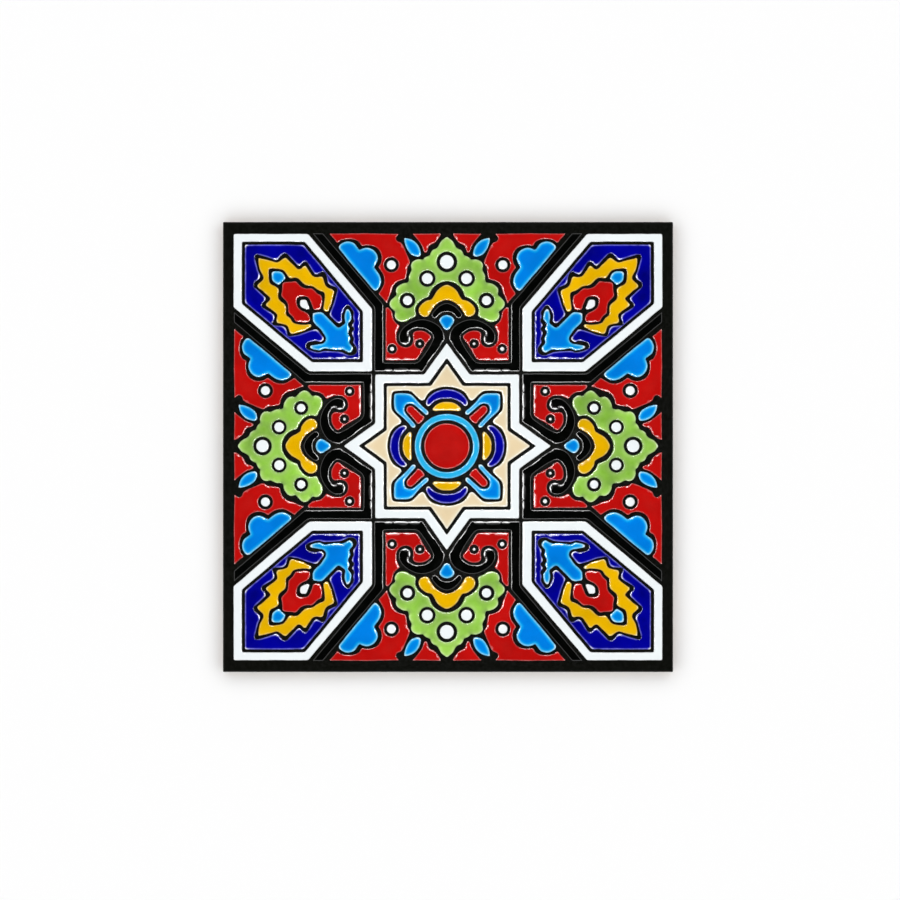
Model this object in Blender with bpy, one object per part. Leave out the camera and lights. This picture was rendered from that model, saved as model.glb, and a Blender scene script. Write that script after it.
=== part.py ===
"""A 200 mm haft rang tile: one fired ceramic slab whose glazed face is divided by drawn lines.

The face lies up (+Z), the plain biscuit back lies on z = 0, and the origin is the centre of the back.
The drawn lines are shallow grooves. Every glazed field stands above them.
Layout sizes are millimetres, measured from the centre of the tile, and become metres in the mesh.
"""

import math

import bmesh
import bpy
from mathutils import Matrix, Vector
from mathutils.geometry import tessellate_polygon

MM = 0.001

# The slab
TILE_SIDE = 200.0
TILE_THICKNESS = 9.0
CORNER_BEVEL = 0.5
FACE_ARRIS = 0.9
BACK_ARRIS = 0.6

# The glaze that stands above the drawn lines
GLAZE_HEIGHT = 0.6
GLAZE_OVERLAP = 0.4
SHOULDER_WIDTH = 0.35
SHOULDER_DROP = 0.3
# An outline with more corners than this keeps an upright edge
SHOULDERED_CORNERS = 16

# The upper right corner: a long hexagon with a white band and a blue field, drawn from its inner corner
CORNER_HEXAGON = [(33.45, 33.45), (61.3, 33.45), (95.2, 61.7), (95.2, 95.2), (61.7, 95.2), (33.45, 61.3)]
WHITE_BAND = 3.9
FIELD_INSET = 5.2

# The drawn line round the crown and the arrow: the crown's upper side from its tip, then the arrow
CROWN_RIM = [
    (85.4, 85.4), (75.9, 82.8), (72.0, 86.1), (65.9, 80.3), (62.6, 82.7), (58.6, 76.7), (55.0, 77.8),
    (53.0, 72.5), (48.6, 70.2), (51.8, 58.6),
]
ARROW_RIM = [
    (48.2, 55.0), (46.9, 58.2), (45.3, 62.3), (43.0, 62.5), (41.3, 58.5), (42.1, 54.0), (41.3, 47.0),
    (40.3, 42.6), (42.4, 40.2), (47.4, 41.7), (58.4, 41.3), (63.2, 44.4), (61.0, 46.8), (55.3, 47.9),
]
# The crown's upper half from its tip, outside and back inside, and what stands in the hexagon with it
CROWN_HALF = [
    (84.2, 84.2), (75.3, 81.7), (72.0, 83.8), (66.2, 78.8), (63.2, 80.4), (59.4, 75.2), (55.6, 75.6),
    (54.0, 71.3), (50.4, 69.6), (52.8, 60.8), (54.5, 60.4), (54.6, 67.0), (58.2, 69.6), (63.6, 72.6),
    (66.8, 75.0), (70.4, 75.0), (73.4, 78.4), (79.4, 79.4),
]
HORSESHOE = [
    (72.9, 72.4), (67.6, 73.4), (63.8, 70.8), (60.0, 69.4), (56.3, 66.8), (56.1, 61.7), (59.3, 61.3),
    (61.2, 65.6), (63.5, 66.9), (66.6, 66.4), (67.1, 64.2), (62.6, 60.0), (61.1, 57.0), (63.0, 55.7),
    (66.8, 56.3), (69.7, 60.3), (71.2, 64.0), (73.4, 67.6),
]
SEED = [(65.4, 65.2), (62.6, 65.3), (61.2, 61.2), (63.0, 61.4), (65.2, 63.4)]
DROP = [(77.9, 77.4), (75.2, 77.9), (72.4, 75.8), (72.8, 73.8), (75.3, 72.0), (78.0, 74.2)]
ARROW = [
    (59.6, 59.5), (56.1, 59.5), (49.2, 53.1), (47.0, 52.8), (44.9, 54.7), (45.7, 58.0), (44.3, 61.0),
    (42.8, 58.5), (43.2, 55.2), (43.4, 52.2), (44.0, 50.4), (43.1, 47.3), (43.0, 45.3), (41.9, 43.0),
    (43.6, 41.7), (47.0, 43.0), (54.0, 43.3), (57.4, 42.5), (61.0, 44.1), (57.5, 45.8), (54.4, 46.3),
    (53.5, 49.0), (59.4, 55.6),
]

# One quarter of the star, round its right-hand spike: a white band, then a sand field
STAR_QUARTER = [(31.9, -31.9), (31.9, -10.1), (46.0, 0.0), (31.9, 10.1)]

# Right-hand halves of the fields between the star and the upper border
BLACK_BAND = [
    (59.8, 95.0), (32.15, 61.8), (32.15, 33.2), (10.8, 33.2), (0.8, 47.5), (2.2, 52.4), (5.6, 55.1),
    (10.0, 56.4), (14.8, 55.8), (18.6, 53.7), (21.2, 50.5), (21.2, 46.7), (18.6, 44.9), (16.3, 46.3),
    (16.3, 51.3), (13.5, 52.4), (10.0, 52.1), (6.9, 49.9), (6.6, 47.0), (13.2, 37.7), (28.3, 37.0),
    (28.3, 63.5), (54.8, 95.0),
]
LOWER_RED = [
    (27.3, 61.6), (27.4, 38.2), (14.1, 38.4), (10.2, 43.7), (7.3, 48.3), (10.1, 51.1), (13.6, 51.2),
    (15.1, 49.8), (15.1, 46.2), (17.0, 44.1), (20.3, 43.9), (22.5, 46.6), (22.4, 50.6), (21.0, 53.6),
    (23.8, 56.9), (24.6, 60.3), (26.4, 62.2),
]
UPPER_RED = [
    (52.4, 94.8), (21.4, 94.7), (22.5, 92.4), (19.4, 89.3), (16.5, 82.0), (17.6, 78.2), (18.6, 74.4),
    (22.3, 73.0), (24.3, 69.6), (26.6, 63.7), (30.5, 67.9), (28.2, 71.8), (28.4, 76.3), (30.6, 79.7),
    (29.1, 83.8), (31.0, 88.1), (34.8, 89.5), (38.0, 89.4), (40.8, 91.9), (44.6, 92.2), (48.6, 90.7),
]
CLOUD = [
    (48.2, 89.1), (46.2, 90.8), (43.2, 91.2), (40.6, 89.6), (38.9, 87.5), (36.3, 88.5), (33.3, 87.9),
    (31.0, 85.3), (31.2, 81.9), (32.4, 79.7), (30.3, 76.9), (29.2, 73.9), (30.2, 70.6), (32.0, 69.2),
    (33.4, 70.2), (48.1, 88.0),
]
SMALL_LEAF = [
    (19.0, 92.1), (16.8, 92.5), (14.4, 91.1), (12.6, 88.6), (11.7, 86.2), (12.5, 84.8), (14.8, 84.8),
    (16.6, 86.9),
]
SMALL_RED = [(15.4, 94.7), (2.6, 94.8), (5.3, 90.8), (8.0, 89.2), (9.4, 86.4), (10.6, 88.2), (12.6, 91.5)]
# From the middle line outwards and back to it
LEAF_HALF = [
    (0.0, 93.2), (2.6, 91.4), (4.3, 88.5), (7.0, 86.6), (7.6, 85.0), (10.2, 83.6), (14.2, 82.9),
    (16.0, 80.4), (15.8, 78.4), (17.0, 75.6), (17.3, 72.9), (20.6, 72.1), (22.8, 69.2), (22.5, 67.3),
    (25.1, 64.8), (25.1, 61.9), (22.9, 59.9), (22.8, 56.8), (20.0, 55.3), (16.6, 56.4), (13.7, 58.4),
    (13.6, 61.9), (11.2, 65.1), (8.0, 66.6), (6.5, 69.9), (3.6, 72.6), (0.0, 73.4),
]
CAP_HALF = [
    (0.0, 71.9), (3.4, 70.4), (5.8, 66.9), (7.2, 65.2), (10.5, 63.9), (12.6, 60.9), (11.3, 58.0),
    (8.6, 57.9), (7.0, 60.1), (3.4, 63.9), (0.0, 65.1),
]
DOME_HALF = [(0.0, 63.9), (3.0, 62.9), (5.8, 60.2), (6.9, 57.9), (5.3, 56.8), (3.2, 58.6), (0.0, 59.7)]
BUD_HALF = [(0.0, 58.5), (2.3, 57.8), (3.3, 55.7), (1.9, 53.2), (0.0, 51.6)]
# White dots in the leaf: centre, radius of the dot, radius of the drawn ring round it
LEAF_DOTS = [
    ((0.0, 82.1), 3.1, 4.5), ((8.7, 74.7), 2.45, 3.6), ((-8.7, 74.7), 2.45, 3.6), ((17.5, 64.9), 2.1, 3.4),
    ((-17.5, 64.9), 2.1, 3.4),
]
DOT_STEPS = 8

# The medallion in the star. The line that holds it runs from above its upper crescent to the diagonal
MEDALLION_RIM = [(0.0, 26.4), (4.8, 25.6), (8.4, 23.4), (10.8, 20.2), (16.4, 24.5), (23.3, 24.4)]
CRESCENT_HALF = [(0.0, 25.3), (4.0, 24.7), (7.5, 22.5), (9.3, 19.5), (8.2, 17.7), (5.5, 19.7), (0.0, 21.2)]
SEGMENT_HALF = [(0.0, 19.8), (3.4, 19.2), (6.4, 16.4), (5.4, 15.7), (0.0, 15.8)]
BRACKET_HALF = [
    (17.6, 18.7), (14.2, 18.1), (9.2, 13.6), (8.1, 14.6), (12.0, 18.9), (16.2, 23.1), (22.0, 23.7),
]
CAPSULE_HALF = [(10.4, 12.6), (15.4, 17.4), (17.3, 17.7)]
RING_OUTER = 14.3
RING_INNER = 11.4
DISC_RADIUS = 10.0
ROUND_STEPS = 36

TILE_NAME = "haft_rang_tile"
GLAZE_COLOUR = (0.02, 0.16, 0.55, 1.0)
GLAZE_ROUGHNESS = 0.15


def remove_everything():
    """Empty the scene, so that the tile is the only object in it."""
    for item in list(bpy.data.objects):
        bpy.data.objects.remove(item, do_unlink=True)


def turned(outline, quarters):
    """The outline turned about the tile's centre by whole quarter turns."""
    turn = Matrix.Rotation(quarters * math.pi / 2, 2)
    return [turn @ Vector(point) for point in outline]


def anticlockwise(outline):
    """The outline, run so that its inside lies to the left."""
    points = [Vector(point) for point in outline]
    doubled_area = sum(before.cross(after) for before, after in zip(points[-1:] + points[:-1], points))
    return points if doubled_area > 0 else points[::-1]


def inset(outline, distance):
    """A closed outline with every side moved to its left, so inwards where it runs anticlockwise."""
    points = [Vector(point) for point in outline]
    moved = []
    for start, end in zip(points, points[1:] + points[:1]):
        along = (end - start).normalized()
        moved.append((start + Vector((-along.y, along.x)) * distance, along))
    corners = []
    for (before, along_before), (after, along_after) in zip(moved[-1:] + moved[:-1], moved):
        step = (after - before).cross(along_after) / along_before.cross(along_after)
        corners.append(before + along_before * step)
    return corners


def circle(radius, centre=(0.0, 0.0), steps=ROUND_STEPS):
    """A round outline, anticlockwise."""
    middle = Vector(centre)
    angles = [2 * math.pi * index / steps for index in range(steps)]
    return [middle + radius * Vector((math.cos(angle), math.sin(angle))) for angle in angles]


def as_hole(outline):
    """The same outline run clockwise, as the edge of a hole."""
    return list(reversed(anticlockwise(outline)))


def flipped(outline):
    """The outline mirrored in the middle line."""
    return [(-x, y) for x, y in outline]


def with_mirror(half):
    """A closed outline from its right half, which starts and ends on the middle line."""
    return half + flipped(half[-2:0:-1])


def across_diagonal(outline):
    """The outline mirrored in the line x = y, run the other way."""
    return [(y, x) for x, y in reversed(outline)]


def star_outline():
    """The square with a spike on each side, anticlockwise."""
    return [point for quarter in range(4) for point in turned(STAR_QUARTER, quarter)]


def medallion_rim():
    """The drawn line round the medallion, clockwise from the top."""
    quarter = MEDALLION_RIM + across_diagonal(MEDALLION_RIM)[:-1]
    return [point for index in range(4) for point in turned(quarter, -index)]


def middle_fields():
    """The star and its medallion, each field as its edge and then the edges of its holes."""
    star = star_outline()
    fields = [
        [star, as_hole(inset(star, WHITE_BAND))],
        [inset(star, FIELD_INSET), as_hole(medallion_rim())],
        [circle(RING_OUTER), as_hole(circle(RING_INNER))],
        [circle(DISC_RADIUS)],
    ]
    around = [
        with_mirror(CRESCENT_HALF),
        with_mirror(SEGMENT_HALF),
        BRACKET_HALF + across_diagonal(BRACKET_HALF),
        CAPSULE_HALF + across_diagonal(CAPSULE_HALF),
    ]
    return fields + [[turned(outline, quarter)] for outline in around for quarter in range(4)]


def side_fields():
    """What lies between the star and the upper border."""
    fields = []
    for half in (BLACK_BAND, LOWER_RED, UPPER_RED, CLOUD, SMALL_LEAF, SMALL_RED):
        fields += [[half], [flipped(half)]]
    rings = [as_hole(circle(ring, centre, DOT_STEPS)) for centre, _, ring in LEAF_DOTS]
    fields.append([with_mirror(LEAF_HALF)] + rings)
    fields += [[circle(dot, centre, DOT_STEPS)] for centre, dot, _ in LEAF_DOTS]
    fields += [[with_mirror(half)] for half in (CAP_HALF, DOME_HALF, BUD_HALF)]
    return fields


def corner_fields():
    """The hexagon in the upper right corner, with what stands in it."""
    rim = CROWN_RIM + ARROW_RIM + across_diagonal(CROWN_RIM[1:])
    crown = CROWN_HALF + across_diagonal(CROWN_HALF[1:-1])
    return [
        [CORNER_HEXAGON, as_hole(inset(CORNER_HEXAGON, WHITE_BAND))],
        [inset(CORNER_HEXAGON, FIELD_INSET), as_hole(rim)],
        [crown],
        [HORSESHOE],
        [SEED],
        [DROP],
        [ARROW],
    ]


def all_fields():
    """Every glazed field of the pattern."""
    fields = middle_fields()
    for quarter in range(4):
        fields += [[turned(loop, quarter) for loop in field] for field in side_fields()]
    for across in (1, -1):
        for up in (1, -1):
            for field in corner_fields():
                fields.append([[(x * across, y * up) for x, y in loop] for loop in field])
    return fields


def add_field(mesh, loops):
    """One glazed field as a closed solid: an upright edge, a sloping shoulder if it is simple, a flat top."""
    loops = [anticlockwise(loops[0])] + [as_hole(loop) for loop in loops[1:]]
    line_level = TILE_THICKNESS - GLAZE_HEIGHT
    levels = [(line_level - GLAZE_OVERLAP, 0.0), (TILE_THICKNESS, 0.0)]
    if len(loops[0]) <= SHOULDERED_CORNERS:
        levels[1:] = [(TILE_THICKNESS - SHOULDER_DROP, 0.0), (TILE_THICKNESS, SHOULDER_WIDTH)]
    rings = []
    for height, distance in levels:
        ring = []
        for loop in loops:
            outline = inset(loop, distance) if distance else loop
            ring.append([mesh.verts.new((x * MM, y * MM, height * MM)) for x, y in outline])
        rings.append(ring)
    for lower, upper in zip(rings, rings[1:]):
        for below, above in zip(lower, upper):
            for index in range(len(below)):
                previous = index - 1
                mesh.faces.new((below[previous], below[index], above[index], above[previous]))
    flat = [[Vector((x, y, 0)) for x, y in loop] for loop in loops]
    triangles = tessellate_polygon(flat)
    for ring in (rings[0], rings[-1]):
        corners = [vert for loop in ring for vert in loop]
        for triangle in triangles:
            mesh.faces.new([corners[index] for index in triangle])


def make_fields():
    """All the glazed fields as one object, ready to be joined to the slab."""
    mesh = bmesh.new()
    for loops in all_fields():
        add_field(mesh, loops)
    return finish_mesh(mesh, "glazed_fields")


def make_slab():
    """The fired slab up to the level of the drawn lines, with its edges eased."""
    line_level = TILE_THICKNESS - GLAZE_HEIGHT
    mesh = bmesh.new()
    bmesh.ops.create_cube(mesh, size=1.0)
    bmesh.ops.scale(mesh, vec=(TILE_SIDE * MM, TILE_SIDE * MM, line_level * MM), verts=mesh.verts)
    bmesh.ops.translate(mesh, vec=(0, 0, line_level * MM / 2), verts=mesh.verts)

    upright = [edge for edge in mesh.edges if abs(edge.verts[0].co.z - edge.verts[1].co.z) > MM]
    ease(mesh, upright, CORNER_BEVEL, 2)
    top = [edge for edge in mesh.edges if all(vert.co.z > (line_level - 0.01) * MM for vert in edge.verts)]
    ease(mesh, top, FACE_ARRIS, 3)
    bottom = [edge for edge in mesh.edges if all(vert.co.z < 0.01 * MM for vert in edge.verts)]
    ease(mesh, bottom, BACK_ARRIS, 1)
    return finish_mesh(mesh, TILE_NAME)


def ease(mesh, edges, width, segments):
    """Bevel the given edges."""
    bmesh.ops.bevel(mesh, geom=edges, offset=width * MM, offset_type="OFFSET", segments=segments,
                    profile=0.5, affect="EDGES", material=-1)


def finish_mesh(mesh, name):
    """Turn the working mesh into an object in the scene, with all its faces looking outwards."""
    bmesh.ops.recalc_face_normals(mesh, faces=mesh.faces)
    data = bpy.data.meshes.new(name)
    mesh.to_mesh(data)
    mesh.free()
    made = bpy.data.objects.new(name, data)
    bpy.context.scene.collection.objects.link(made)
    return made


def make_glaze():
    """A plain glossy glaze in the tile's main colour."""
    glaze = bpy.data.materials.new("tile_glaze")
    glaze.use_nodes = True
    shader = glaze.node_tree.nodes["Principled BSDF"]
    shader.inputs["Base Color"].default_value = GLAZE_COLOUR
    shader.inputs["Roughness"].default_value = GLAZE_ROUGHNESS
    shader.inputs["Metallic"].default_value = 0.0
    return glaze


def main():
    """Build the slab and fuse the glazed fields onto it, so that the tile is one solid."""
    remove_everything()
    tile = make_slab()
    fields = make_fields()
    fields.hide_render = True
    fields.display_type = "WIRE"
    fuse = tile.modifiers.new("fuse_glaze", "BOOLEAN")
    fuse.operation = "UNION"
    fuse.solver = "MANIFOLD"
    fuse.object = fields
    tile.data.materials.append(make_glaze())


main()
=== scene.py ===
import math

import bmesh
import bpy
from mathutils import Matrix, Vector, noise
from mathutils.geometry import delaunay_2d_cdt, intersect_point_line
from mathutils.kdtree import KDTree


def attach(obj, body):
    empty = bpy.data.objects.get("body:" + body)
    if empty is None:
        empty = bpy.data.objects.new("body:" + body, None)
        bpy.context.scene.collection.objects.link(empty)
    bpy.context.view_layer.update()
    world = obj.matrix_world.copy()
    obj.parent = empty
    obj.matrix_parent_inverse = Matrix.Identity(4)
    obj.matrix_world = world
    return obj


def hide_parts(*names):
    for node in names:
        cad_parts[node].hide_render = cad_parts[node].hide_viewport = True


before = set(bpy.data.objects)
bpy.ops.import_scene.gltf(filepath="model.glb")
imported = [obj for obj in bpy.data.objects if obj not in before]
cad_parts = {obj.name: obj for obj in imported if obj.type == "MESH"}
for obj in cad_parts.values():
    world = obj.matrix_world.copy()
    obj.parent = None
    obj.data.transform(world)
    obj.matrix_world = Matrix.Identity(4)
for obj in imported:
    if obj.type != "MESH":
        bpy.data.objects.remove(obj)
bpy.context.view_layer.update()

# Outlines are in millimetres from the tile's centre, (across, up), for the upper right quarter.
# A third value of 1 marks a sharp corner. All other points lie on a smooth line.
mm = 0.001
tileNode = "haft_rang_tile"


def srgb(red, green, blue, alpha=1.0):
    def linear(value):
        value /= 255
        return value / 12.92 if value <= 0.04045 else ((value + 0.055) / 1.055) ** 2.4
    return linear(red), linear(green), linear(blue), alpha


def grey(value):
    return value, value, value, 1


def link(obj):
    bpy.context.scene.collection.objects.link(obj)
    return obj


# Drawing the outlines

glazeShape = {
    "lineLevel": 8.4,        # the drawn lines and the border
    "edgeRise": 0.44,        # height that the shoulder gains
    "crownRise": 0.15,       # the little that the middle gains beyond it
    "crownReach": 2.2,
    "foot": 0.2,             # how far the glaze goes down into the body
    "spacing": 0.5,          # between points along an outline
    "steps": (0.1, 0.25, 0.45, 0.75, 1.2, 1.8),   # distances of the rows of points from the edge
    "rowSlack": (0.96, 0.9),   # shares of its distance that a point of a row, or between two, keeps
    "openRow": 1.6,          # where the points of a row are this many spacings apart, one comes between
    "closest": 0.13,         # two points inside are never nearer
    "insideSpacing": 1.9,
    "insideMargin": 0.7,     # between the last row and the points inside
    "roundSteps": 14,        # the least that a dot has
    "narrowShoulder": 0.3,   # on edges that look away from the tile's centre
    "wideShoulder": 1.0,     # on edges that look towards it, here and there
    "beadLength": 2.6,
    "beadContrast": 2.8,
    "beadThreshold": 0.15,
    "pooledFacing": 0.2,     # an edge in a pool is broad where it looks towards the centre more than this
    "bendReach": 3,          # points to each side that the bend of an edge is read from
    "handWaver": 0.1,        # how far the brush strays
    "handLength": 6.0,
    "tremble": 0.35,         # the share of it in short waves
    "trembleLength": 1.9,
    "noiseLevels": {"waver": 3.7, "tremble": 8.1, "beads": 5.2},
    "handSeed": 7,
}
noise.seed_set(glazeShape["handSeed"])   # without it the waver is another one each run


def straight(points):
    return [(x, y, 1) for x, y in points]


def acrossDiagonal(points):
    return [(p[1], p[0], *p[2:]) for p in reversed(points)]


def withMirror(half):
    # right half from the middle line and back to it, then the left half
    return half + [(-p[0], *p[1:]) for p in reversed(half) if p[0] != 0]


def circle(x, y, radius):
    count = max(glazeShape["roundSteps"], round(2 * math.pi * radius / glazeShape["spacing"]))
    turn = 2 * math.pi / count
    return [Vector((x + radius * math.cos(turn * k), y + radius * math.sin(turn * k)))
            for k in range(count)]


def drawn(points, rounding=2):
    # a smooth closed line through the points, with softened corners and a little waver of the hand
    s = glazeShape
    count = len(points)
    line = []
    for k in range(count):
        before, here, there, after = (points[(k + j) % count] for j in (-1, 0, 1, 2))
        a, b = Vector(here[:2]), Vector(there[:2])
        span = (b - a).length
        leaving = (b - a) if len(here) > 2 else (b - Vector(before[:2])).normalized() * span
        arriving = (b - a) if len(there) > 2 else (Vector(after[:2]) - a).normalized() * span
        steps = max(1, round(span / s["spacing"]))
        for j in range(steps):
            t = j / steps
            line.append(a * (2 * t**3 - 3 * t**2 + 1) + leaving * (t**3 - 2 * t**2 + t)
                        + b * (3 * t**2 - 2 * t**3) + arriving * (t**3 - t**2))
    for _ in range(rounding):
        ahead = line[1:] + line[:1]
        line = [line[k - 1] * 0.25 + line[k] * 0.5 + ahead[k] * 0.25 for k in range(len(line))]
    return [p + waver(p) for p in line]


def waver(p):
    s = glazeShape
    levels = s["noiseLevels"]
    wide = noise.noise_vector(Vector((p.x / s["handLength"], p.y / s["handLength"], levels["waver"])))
    short = s["trembleLength"]
    fine = noise.noise_vector(Vector((p.x / short, p.y / short, levels["tremble"])))
    return (Vector((wide.x, wide.y)) * s["handWaver"]
            + Vector((fine.x, fine.y)) * s["handWaver"] * s["tremble"])


def area(line):
    return sum(line[k - 1].cross(line[k]) for k in range(len(line))) / 2


def inLoops(p, loops):
    inside = False
    for line in loops:
        for k in range(len(line)):
            a, b = line[k - 1], line[k]
            if (a.y > p.y) != (b.y > p.y) and p.x < a.x + (p.y - a.y) * (b.x - a.x) / (b.y - a.y):
                inside = not inside
    return inside


# Turning outlines into raised glaze

# where glaze has run together against an edge and rounds it more broadly: across, up, reach, extra width
pools = [
    # in the corner
    (48.5, 43.0, 2.8, 3.6), (55.5, 43.2, 1.2, 0.8), (60.7, 44.0, 1.2, 1.2), (43.4, 52.3, 1.2, 1.2),
    (43.0, 47.9, 1.2, 1.2), (45.9, 60.2, 1.6, 1.2), (52.0, 39.0, 1.4, 1.4), (47.0, 38.8, 2.6, 2.4),
    (40.8, 38.9, 1.2, 1.4), (38.9, 56.8, 1.2, 1.2), (38.9, 53.4, 1.0, 1.2), (38.9, 50.2, 1.2, 1.2),
    (66.2, 66.4, 1.3, 1.5), (56.0, 62.9, 1.0, 1.1), (57.4, 60.9, 1.2, 1.3), (61.5, 58.7, 1.2, 1.3),
    (64.0, 55.0, 2.2, 1.5), (65.6, 50.8, 2.0, 1.4), (70.0, 74.8, 1.3, 1.3), (53.5, 59.8, 1.0, 1.2),
    (60.4, 53.5, 1.0, 1.4), (75.0, 72.1, 1.5, 1.6), (75.9, 82.8, 1.3, 1.3), (83.2, 75.5, 1.3, 1.3),
    (63.7, 82.0, 1.2, 1.2),
    # on the side
    (20.5, 33.1, 3.4, 3.6), (14.5, 33.2, 2.4, 2.8), (26.0, 33.1, 1.8, 2.2), (18.2, 45.1, 1.7, 2.2),
    (16.2, 47.6, 1.3, 2.0), (16.9, 50.1, 1.1, 1.8), (24.0, 38.2, 2.8, 3.2), (17.8, 38.2, 1.6, 2.0),
    (6.6, 61.0, 2.4, 4.5), (21.8, 51.9, 1.8, 1.8), (7.7, 89.0, 1.2, 1.5), (3.3, 92.8, 1.2, 1.4),
    (19.6, 89.6, 1.2, 1.3), (17.4, 79.5, 1.2, 1.3), (24.1, 70.4, 1.2, 1.3), (7.4, 85.6, 1.0, 1.0),
    (15.9, 80.0, 1.0, 1.0), (22.7, 68.2, 1.2, 1.2), (18.6, 55.4, 1.6, 1.4), (12.7, 63.4, 1.2, 1.2),
    (40.2, 89.2, 1.4, 1.3), (31.2, 82.0, 1.4, 1.3),
    # round the medallion
    (20.7, 16.6, 1.4, 1.3), (18.8, 15.0, 1.3, 1.3), (14.0, 18.3, 1.3, 1.3), (14.4, 13.4, 2.0, 1.5),
    (25.0, 20.6, 2.0, 1.2), (5.2, 15.6, 1.5, 2.0), (2.0, 15.7, 1.6, 1.0),
]


class Rim:
    # the edges of one glaze field: finds how far inside a point is, and what the edge is like there
    def __init__(self, outer, holes):
        self.loops = []
        for number, line in enumerate([outer] + holes):
            if (area(line) > 0) != (number == 0):
                line = line[::-1]
            self.loops.append(line)
        self.spots = [p for loop in self.loops for p in loop]
        self.before, self.after = [], []
        start = 0
        for loop in self.loops:
            count = len(loop)
            self.before += [start + (k - 1) % count for k in range(count)]
            self.after += [start + (k + 1) % count for k in range(count)]
            start += count
        self.tree = KDTree(len(self.spots))
        for number, spot in enumerate(self.spots):
            self.tree.insert((*spot, 0), number)
        self.tree.balance()
        numbers = range(len(self.spots))
        self.inward = [self.inwardAt(k) for k in numbers]
        self.shoulder = [self.shoulderAt(k) for k in numbers]
        bend = [self.bendAt(k) for k in numbers]
        self.bend = [(bend[self.before[k]] + bend[k] + bend[self.after[k]]) / 3 for k in numbers]

    def inwardAt(self, k):
        along = self.spots[self.after[k]] - self.spots[self.before[k]]
        return Vector((-along.y, along.x)).normalized()

    def shoulderAt(self, k):
        s = glazeShape
        p = self.spots[k]
        towardsCentre = Vector((-1 if p.x > 0 else 1, -1 if p.y > 0 else 1)) / math.sqrt(2)
        facing = max(0.0, -self.inward[k].dot(towardsCentre))
        spot = Vector((p.x / s["beadLength"], p.y / s["beadLength"], s["noiseLevels"]["beads"]))
        beaded = min(max(s["beadContrast"] * noise.noise(spot) - s["beadThreshold"], 0.0), 1.0)
        width = s["narrowShoulder"] + (s["wideShoulder"] - s["narrowShoulder"]) * facing * beaded
        for x, y, reach, extra in pools:
            near = 1 - ((abs(p.x) - x) ** 2 + (abs(p.y) - y) ** 2) / reach ** 2
            if near > 0 and facing > s["pooledFacing"]:
                width = max(width, s["narrowShoulder"] + extra * math.sqrt(near))
        return width

    def bendAt(self, k):
        # from -1 where the edge turns into the field to 1 at a corner that stands out from it
        back, ahead = k, k
        for _ in range(glazeShape["bendReach"]):
            back, ahead = self.before[back], self.after[ahead]
        arriving, leaving = self.spots[k] - self.spots[back], self.spots[ahead] - self.spots[k]
        return math.atan2(arriving.cross(leaving), arriving.dot(leaving)) / (math.pi / 2)

    def measure(self, p):
        best, a, b, along = 1e9, 0, 0, 0
        for _, number, _ in self.tree.find_n((*p, 0), 3):
            for first, second in ((self.before[number], number), (number, self.after[number])):
                _, t = intersect_point_line(p, self.spots[first], self.spots[second])
                t = min(max(t, 0), 1)
                away = (p - self.spots[first].lerp(self.spots[second], t)).length
                if away < best:
                    best, a, b, along = away, first, second, t
        return (best, self.shoulder[a] * (1 - along) + self.shoulder[b] * along,
                self.bend[a] * (1 - along) + self.bend[b] * along)


def glazeHeight(distance, shoulder):
    s = glazeShape
    t = min(distance / shoulder, 1.0)
    return (s["edgeRise"] * math.sqrt(1 - (1 - t) ** 2)
            + s["crownRise"] * (1 - math.exp(-distance / s["crownReach"])))


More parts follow.
